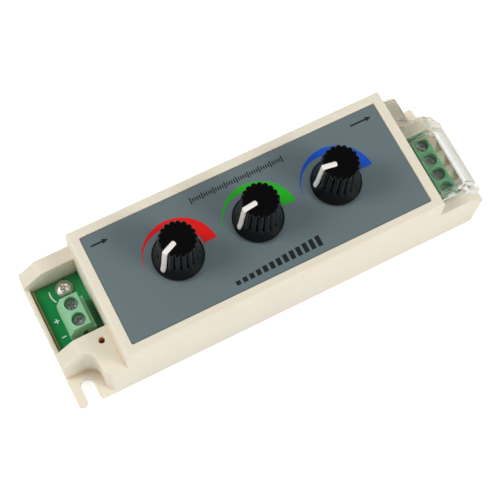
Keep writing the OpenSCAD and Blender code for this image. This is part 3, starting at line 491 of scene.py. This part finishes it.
pointer_w, pointer_start, pointer_foot, proud, buried, pointer_edge = 1.5, 1.2, 1.9, 0.11, 0.45, 0.1
end_share, end_l, bend_r, bend_steps, flare_steps = 0.5, 0.3, crown_round, 6, 14
path = [(pointer_start, knob_tall, 0.0), (pointer_start + end_l, knob_tall, 0.0)]
path += [(crown_r - bend_r * (1 - math.sin(a)), knob_tall - bend_r * (1 - math.cos(a)), a)
         for a in (math.pi / 2 * k / bend_steps for k in range(bend_steps + 1))]
foot_r, side_top = skirt_radius(pointer_foot), knob_tall - bend_r
for k in range(1, flare_steps + 1):
    height = side_top + (pointer_foot - side_top) * k / flare_steps
    chord = crown_r + (foot_r - crown_r) * k / flare_steps
    path.append(((skirt_radius(height) + chord) / 2, height, math.pi / 2))
path.append((skirt_radius(pointer_foot - end_l), pointer_foot - end_l, math.pi / 2))
flat_share = 1 - 2 * pointer_edge / pointer_w
section = ((-1, -buried), (-1, proud - pointer_edge), (-flat_share, proud),
           (flat_share, proud), (1, proud - pointer_edge), (1, -buried))
for colour, x in knob_places.items():
    rings = []
    for k, (radius, height, lean) in enumerate(path):
        half = pointer_w / 2 * (end_share if k in (0, len(path) - 1) else 1)
        rings.append([(radius + lift * math.sin(lean), side * half, height + lift * math.cos(lean))
                      for side, lift in section])
    work = bmesh.new()
    wrap(work, rings)
    pointer = finished(work, f"pointer_inlay_{colour}", abs_white, f"{colour}_knob",
                       f"pointer_{colour}", sharp_deg=50)
    pointer.location = (x * MM, 0, knob_low * MM)
    pointer.rotation_euler.z = math.radians(pointer_angles[colour])


# Metal of the potentiometers, boards and terminals: nickel plate, tinned cans and plated brass.
# Plating is bright, with faint marks that break up the highlights, drawn coarse enough to show.
def plated(name, code, rough, relief=0.0):
    """Plated metal with fine marks, and the orange peel of barrel plating where relief is over 0."""
    made, tree = material(name)
    mark_mm, peel_mm, smoothest, roughest = 0.25, 0.1, 0.7, 1.4
    place = add(tree, "ShaderNodeTexCoord").outputs["Object"]
    mark = add(tree, "ShaderNodeTexNoise", {"Vector": place, "Scale": 1 / (mark_mm * MM), "Detail": 3.0})
    spread = add(tree, "ShaderNodeMapRange", {
        "Value": mark.outputs[0], "To Min": rough * smoothest, "To Max": rough * roughest})
    peel = add(tree, "ShaderNodeBump", {
        "Height": mark.outputs[0], "Strength": relief, "Distance": peel_mm * MM})
    shade = add(tree, "ShaderNodeBsdfPrincipled", {
        "Base Color": linear(code), "Metallic": 1.0, "Roughness": spread.outputs[0],
        "Normal": peel.outputs[0]})
    add(tree, "ShaderNodeOutputMaterial", {"Surface": shade.outputs[0]})
    return made


def dress(node, finish):
    """Gives a CAD node its finish."""
    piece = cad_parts[node]
    piece.data.materials.clear()
    piece.data.materials.append(finish)


nickel = plated("nickel_plated_steel", "#cfcdc8", rough=0.22)
tinned = plated("tinned_steel", "#bdbeba", rough=0.35)
brass = plated("nickel_flashed_brass", "#c9a856", rough=0.3)
for node in ("base_screws", "pot_pins", "pot_nuts", "pot_washers", "board_washers"):
    dress(node, nickel)
for colour in knob_places:
    dress(f"shaft_{colour}", nickel)
    dress(f"bushing_{colour}", nickel)
    dress(f"can_{colour}", tinned)
for node in ("header_pins", "input_contacts", "output_contacts"):
    dress(node, brass)


# Clamping screws: nickel-plated steel with a shallow domed head, and a slot crossed by a shorter one.
# Each sits at the bottom of its well, turned to a different place, in a plated brass cage.
head_r, head_t, head_in, head_foot, shank_r, tip_taper = 1.85, 1.3, 0.05, 0.1, 1.25, 0.3
dome, rim_drop, rim_share = 0.12, 0.28, 0.18
slot_w, slot_deep, slot_soft, slot_share, cross_share = 0.62, 0.75, 0.12, 1.1, 0.62
head_around, head_rings = 96, 26
screw_turns = {"in_screw_1": 62, "in_screw_2": 20, "out_screw_1": 75, "out_screw_2": 28, "out_screw_3": 110,
               "out_screw_4": 50}


def head_height(x, y):
    """Height of the head's face in mm from its highest level, with two crossing slots cut into the dome."""
    radius = math.hypot(x, y) / head_r
    face = -dome * radius ** 2 - rim_drop * max(0.0, (radius - 1 + rim_share) / rim_share) ** 2
    cuts = []
    for along, across, reach in ((x, y, head_r * slot_share), (y, x, head_r * cross_share)):
        inside = min(1.0, max(0.0, (slot_w / 2 + slot_soft / 2 - abs(across)) / slot_soft))
        inside *= min(1.0, max(0.0, (reach - abs(along)) / slot_soft))
        cuts.append(inside)
    return face * (1 - max(cuts)) - slot_deep * max(cuts)


worn_nickel = plated("nickel_plate_dulled_in_the_well", "#c6c8c5", rough=0.26, relief=0.75)
turns = [2 * math.pi * k / head_around for k in range(head_around)]
for node, turn in screw_turns.items():
    low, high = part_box(node)
    middle = (low + high) / 2
    tip, seat, top = low.z / MM, high.z / MM - head_t, high.z / MM
    profile = ((shank_r - tip_taper, tip), (shank_r, tip + tip_taper), (shank_r, seat),
               (head_r - head_in, seat), (head_r, seat + head_foot))
    rings = [[(r * math.cos(a), r * math.sin(a), z) for a in turns] for r, z in profile]
    for k in range(head_rings + 1):
        r = head_r * (1 - k / (head_rings + 1))
        face = [(r * math.cos(a), r * math.sin(a)) for a in turns]
        rings.append([(x, y, top + head_height(x, y)) for x, y in face])
    work = bmesh.new()
    wrap(work, rings)
    screw = finished(work, f"clamp_{node}", worn_nickel, node, node, sharp_deg=40)
    screw.location = (middle.x, middle.y, 0)
    screw.rotation_euler.z = math.radians(turn)
    dress(node.replace("screw", "cage"), brass)


# Board screws: bright nickel pan heads with a cross recess, pressed down on their washers.
# The face is lightly orange-peeled by the plating and catches the room in broken spots.
bright_nickel = plated("nickel_plate_bright_barrel_plated", "#ece9e3", rough=0.28, relief=0.4)
pan_r, pan_t, pan_side, pan_foot, pan_power, post_r, post_taper = 2.1, 1.5, 0.6, 0.08, 2.6, 1.4, 0.3
cross_w, cross_reach, cross_deep, cross_soft = 0.62, 1.3, 0.7, 0.25
pan_around, pan_rings = 72, 22
pan_places_and_turns = ((-55.5, 12.0, 25), (-36.0, -14.2, 60), (36.0, 14.2, 10), (36.0, -14.2, 80))


def pan_height(x, y):
    """Height of the pan head over its washer in mm, with the cross recess that narrows as it goes down."""
    share = math.hypot(x, y) / pan_r
    face = pan_side + (pan_t - pan_side) * math.sqrt(max(0.0, 1 - share ** pan_power))
    cuts = []
    for along, across in ((x, y), (y, x)):
        inside = min(1.0, max(0.0, (cross_w / 2 + cross_soft / 2 - abs(across)) / cross_soft))
        cuts.append(inside * min(1.0, max(0.0, (cross_reach - abs(along)) / (2 * cross_soft))))
    return face - cross_deep * max(cuts)


low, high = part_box("board_screws")
tip, seat = low.z / MM, high.z / MM - pan_t
profile = ((post_r - post_taper, tip), (post_r, tip + post_taper), (post_r, seat), (pan_r - pan_foot, seat),
           (pan_r, seat + pan_foot))
steps = [2 * math.pi * k / pan_around for k in range(pan_around)]
work = bmesh.new()
for x, y, turn in pan_places_and_turns:
    turned = [a + math.radians(turn) for a in steps]
    rings = [[(x + r * math.cos(a), y + r * math.sin(a), z) for a in turned] for r, z in profile]
    for k in range(pan_rings + 1):
        r = pan_r * (1 - k / (pan_rings + 1))
        tall = [seat + pan_height(r * math.cos(a), r * math.sin(a)) for a in steps]
        rings.append([(x + r * math.cos(a), y + r * math.sin(a), z) for a, z in zip(turned, tall)])
    wrap(work, rings)
finished(work, "pan_head_screws", bright_nickel, "case", "board_screws", sharp_deg=50)


# Boards: glass-epoxy laminate with glossy green solder mask on both faces and a raw brown cut edge.
# The mask is thin and wet-looking. The top is drawn in the resin's tan where x is below -63.8 mm,
# a thin line at the board's end by the wall. The plies and the weave are drawn a little coarser than they
# are, so that they show.
laminate, tree = material("solder_mask_on_glass_epoxy")
weave_mm, ply_mm, tan_end_mm, level_share = 0.8, 0.2, -63.8, 0.5
spot = add(tree, "ShaderNodeTexCoord")
weave = add(tree, "ShaderNodeTexNoise", {
    "Vector": spot.outputs["Object"], "Scale": 1 / (weave_mm * MM), "Detail": 3.0})
plies = add(tree, "ShaderNodeTexNoise", {
    "Vector": spot.outputs["Object"], "Scale": 1 / (ply_mm * MM), "Detail": 2.0})
mask_tone = add(tree, "ShaderNodeMix", {0: weave.outputs[0], 6: linear("#008641"), 7: linear("#01954b")},
                data_type="RGBA")
resin_tone = add(tree, "ShaderNodeMix", {0: plies.outputs[0], 6: linear("#b18d58"), 7: linear("#cba870")},
                 data_type="RGBA")
facing = add(tree, "ShaderNodeSeparateXYZ", {0: spot.outputs["Normal"]})
flat = add(tree, "ShaderNodeMath", {0: facing.outputs["Z"]}, operation="ABSOLUTE")
masked = add(tree, "ShaderNodeMath", {0: flat.outputs[0], 1: level_share}, operation="GREATER_THAN")
along = add(tree, "ShaderNodeSeparateXYZ", {0: spot.outputs["Object"]})
# The top is drawn in the resin's tan where x is below this end mark, as well as on the upright cut edges.
inner = add(tree, "ShaderNodeMath", {0: along.outputs["X"], 1: tan_end_mm * MM}, operation="GREATER_THAN")
face = add(tree, "ShaderNodeMath", {0: masked.outputs[0], 1: inner.outputs[0]}, operation="MULTIPLY")
tone = add(tree, "ShaderNodeMix", {0: face.outputs[0], 6: resin_tone.outputs[2], 7: mask_tone.outputs[2]},
           data_type="RGBA")
sheen = add(tree, "ShaderNodeMapRange", {"Value": face.outputs[0], "To Min": 0.7, "To Max": 0.25})
shade = add(tree, "ShaderNodeBsdfPrincipled", {
    "Base Color": tone.outputs[2], "Roughness": sheen.outputs[0], "IOR": 1.55})
add(tree, "ShaderNodeOutputMaterial", {"Surface": shade.outputs[0]})
for node in ("main_board", "control_board"):
    dress(node, laminate)
board_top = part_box("main_board")[1].z


# Signs on the main board: white epoxy ink, screen-printed thinly on the solder mask.
# A plain plus and minus stand beside the input terminal, and an arc beside the board's screw.
def arc_band(x, y, radius, stroke, start, end):
    """A band along an arc about x, y, from the angle start to end in degrees."""
    steps = 16
    turns = [math.radians(start + (end - start) * k / steps) for k in range(steps + 1)]
    outer = [(x + radius * math.cos(a), y + radius * math.sin(a)) for a in turns]
    inner = [(x + (radius - stroke) * math.cos(a), y + (radius - stroke) * math.sin(a)) for a in turns]
    return outer + inner[::-1]


def plus(x, y, size, stroke):
    """A plus sign, made of three bars that meet."""
    return [bar(x - size / 2, y - stroke / 2, x + size / 2, y + stroke / 2),
            bar(x - stroke / 2, y + stroke / 2, x + stroke / 2, y + size / 2),
            bar(x - stroke / 2, y - size / 2, x + stroke / 2, y - stroke / 2)]


white_ink = ink("legend_ink_white", "#eef0ea")
sign_stroke = 0.34
signs = plus(x=-61.4, y=4.2, size=1.5, stroke=sign_stroke)
signs += [bar(x0=-62.1, y0=-1.1, x1=-60.7, y1=-1.1 + sign_stroke)]
signs += [arc_band(x=-55.5, y=12.0, radius=4.6, stroke=sign_stroke, start=165, end=215)]
printed("board_signs", signs, white_ink, board_top)


# Terminal blocks: moulded green nylon, paler on the input side. The nylon is slightly waxy, so the edges
# of the wells look soft. Its skin is drawn coarser than it is, so that it shows.
def nylon(name, code, deep_code):
    """Moulded nylon with a faint skin, in two close tones."""
    made, tree = material(name)
    skin_mm = 0.3
    place = add(tree, "ShaderNodeTexCoord").outputs["Object"]
    skin = add(tree, "ShaderNodeTexNoise", {"Vector": place, "Scale": 1 / (skin_mm * MM), "Detail": 2.0})
    tone = add(tree, "ShaderNodeMix", {0: skin.outputs[0], 6: linear(deep_code), 7: linear(code)},
               data_type="RGBA")
    relief = add(tree, "ShaderNodeBump", {"Height": skin.outputs[0], "Strength": 0.1, "Distance": 0.02 * MM})
    shade = add(tree, "ShaderNodeBsdfPrincipled", {
        "Base Color": tone.outputs[2], "Roughness": 0.4, "IOR": 1.53, "Normal": relief.outputs[0]})
    add(tree, "ShaderNodeOutputMaterial", {"Surface": shade.outputs[0]})
    return made


pale_nylon = nylon("nylon_pale_green", "#93cfa3", "#88c498")
green_nylon = nylon("nylon_green", "#76b98a", "#6aad7e")
moulded("input_terminal", "input_terminal_block", "case", pale_nylon, edge=0.12)
moulded("output_terminal", "output_terminal_block", "case", green_nylon, edge=0.12)


# Small parts on the boards, all inside the box: moulded epoxy, phenolic wafers and a sleeved capacitor.
# They are dull, except the sleeve, which is glossy film shrunk on by heat.
epoxy, tree = material("moulded_epoxy_black")
grit_mm = 0.2
place = add(tree, "ShaderNodeTexCoord").outputs["Object"]
grit = add(tree, "ShaderNodeTexNoise", {"Vector": place, "Scale": 1 / (grit_mm * MM), "Detail": 2.0})
relief = add(tree, "ShaderNodeBump", {"Height": grit.outputs[0], "Strength": 0.2, "Distance": 0.02 * MM})
shade = add(tree, "ShaderNodeBsdfPrincipled", {
    "Base Color": linear("#1a1a1c"), "Roughness": 0.55, "IOR": 1.5, "Normal": relief.outputs[0]})
add(tree, "ShaderNodeOutputMaterial", {"Surface": shade.outputs[0]})
for node in ("header_body", "mosfets", "regulator", "pwm_chip", "chip_parts"):
    dress(node, epoxy)

phenolic, tree = material("phenolic_paper_punched")
fibre_mm = 0.5
place = add(tree, "ShaderNodeTexCoord").outputs["Object"]
fibre = add(tree, "ShaderNodeTexNoise", {"Vector": place, "Scale": 1 / (fibre_mm * MM), "Detail": 4.0})
tone = add(tree, "ShaderNodeMix", {0: fibre.outputs[0], 6: linear("#6d4220"), 7: linear("#87552c")},
           data_type="RGBA")
shade = add(tree, "ShaderNodeBsdfPrincipled", {"Base Color": tone.outputs[2], "Roughness": 0.6, "IOR": 1.5})
add(tree, "ShaderNodeOutputMaterial", {"Surface": shade.outputs[0]})
for colour in knob_places:
    dress(f"wafer_{colour}", phenolic)
    dress(f"rotor_{colour}", phenolic)

sleeve, tree = material("shrink_sleeve_gloss")
ripple_mm = 1.5
place = add(tree, "ShaderNodeTexCoord").outputs["Object"]
ripple = add(tree, "ShaderNodeTexNoise", {"Vector": place, "Scale": 1 / (ripple_mm * MM), "Detail": 1.0})
relief = add(tree, "ShaderNodeBump", {"Height": ripple.outputs[0], "Strength": 0.1, "Distance": 0.1 * MM})
shade = add(tree, "ShaderNodeBsdfPrincipled", {
    "Base Color": linear("#2a2c31"), "Roughness": 0.25, "IOR": 1.5, "Normal": relief.outputs[0]})
add(tree, "ShaderNodeOutputMaterial", {"Surface": shade.outputs[0]})
dress("capacitor", sleeve)


# Clear cover: polished polycarbonate, moulded with softly rounded edges that gather the white of the room,
# and set on the wing by its flange. It lets shadow rays through, as thin clear plastic does, and its IOR is
# set low, so that its walls bend the view as little as the real thin ones.
clear, tree = material("polycarbonate_clear_polished")
wave_mm = 6
place = add(tree, "ShaderNodeTexCoord").outputs["Object"]
wave = add(tree, "ShaderNodeTexNoise", {"Vector": place, "Scale": 1 / (wave_mm * MM), "Detail": 1.0})
polish = add(tree, "ShaderNodeMapRange", {"Value": wave.outputs[0], "To Min": 0.02, "To Max": 0.06})
solid = add(tree, "ShaderNodeBsdfPrincipled", {
    "Base Color": linear("#dadad7"), "Roughness": polish.outputs[0], "IOR": 1.16,
    "Transmission Weight": 1.0, "Coat Weight": 1.0, "Coat Roughness": 0.03, "Coat IOR": 1.5})
rays = add(tree, "ShaderNodeLightPath")
through = add(tree, "ShaderNodeBsdfTransparent", {"Color": linear("#f2f4f3")})
shade = add(tree, "ShaderNodeMixShader", {
    0: rays.outputs["Is Shadow Ray"], 1: solid.outputs[0], 2: through.outputs[0]})
add(tree, "ShaderNodeOutputMaterial", {"Surface": shade.outputs[0]})
moulded("clear_cover", "terminal_cover", "cover", clear, edge=0.2)
